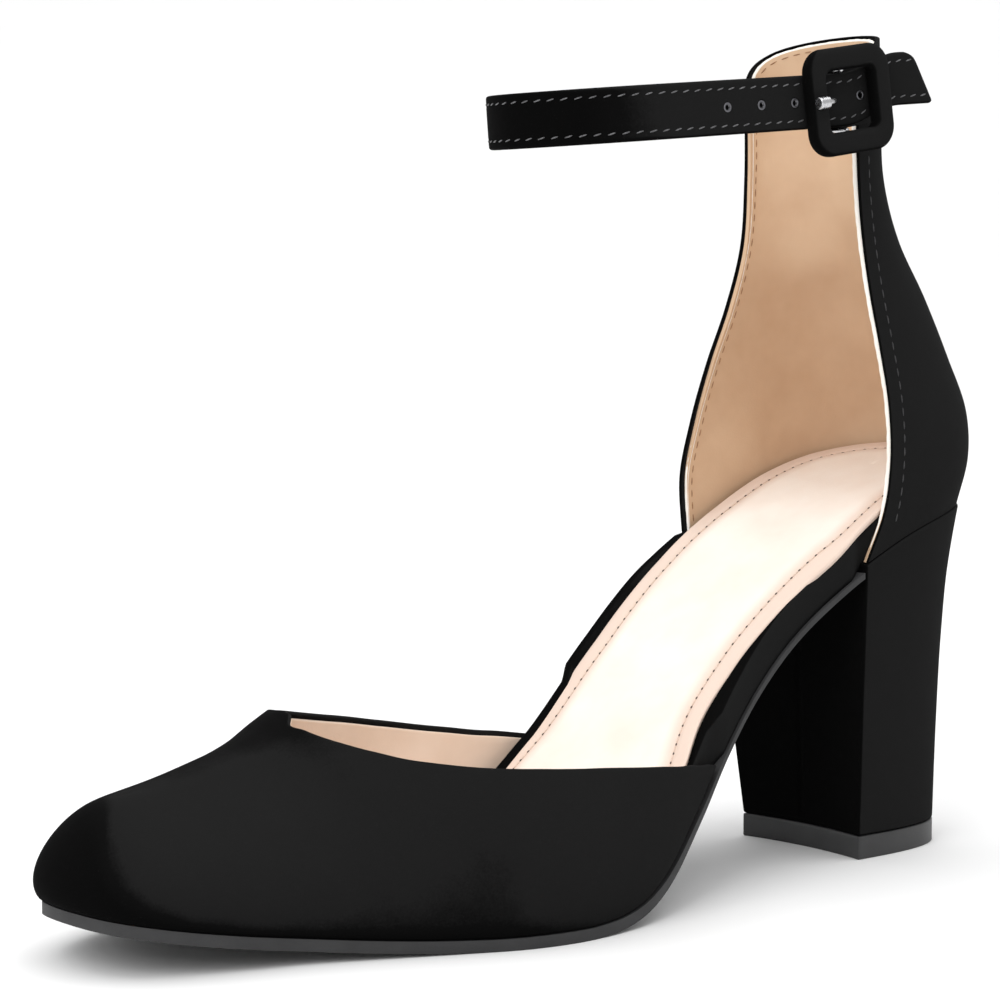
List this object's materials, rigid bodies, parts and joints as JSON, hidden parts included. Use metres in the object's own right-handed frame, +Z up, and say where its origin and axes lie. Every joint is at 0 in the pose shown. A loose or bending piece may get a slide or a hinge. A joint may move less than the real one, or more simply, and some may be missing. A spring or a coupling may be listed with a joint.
{
  "type": "ankle strap pump",
  "caption": "Almond-toed two-piece pump for the left foot, with an open waist, a tall heel quarter, a buckled ankle strap and a block heel.",
  "frame": {"origin": "on the floor, under the middle of the shoe's bounding box", "axes": "+X runs from the toe back to the heel, +Y points to the inner side of the foot, +Z is up"},
  "size_m": [0.2392, 0.083, 0.1885],
  "materials": {
    "black_suede": "matte microfibre suede",
    "lining": "smooth soft lining",
    "sole_rubber": "satin rubber",
    "silver_metal": "bright plated"
  },
  "bodies": {
    "root": {"outsole": "sole_rubber", "footbed": "black_suede", "insole_sock": "lining", "vamp": "black_suede", "quarter": "black_suede", "heel": "black_suede", "top_piece": "sole_rubber", "ankle_strap": "black_suede", "eyelet_1": "silver_metal", "eyelet_2": "silver_metal", "eyelet_3": "silver_metal", "eyelet_4": "silver_metal", "eyelet_5": "silver_metal", "buckle_frame": "black_suede", "buckle_bar": "silver_metal", "buckle_prong": "silver_metal", "buckle_tab": "black_suede"}
  },
  "joints": []
}
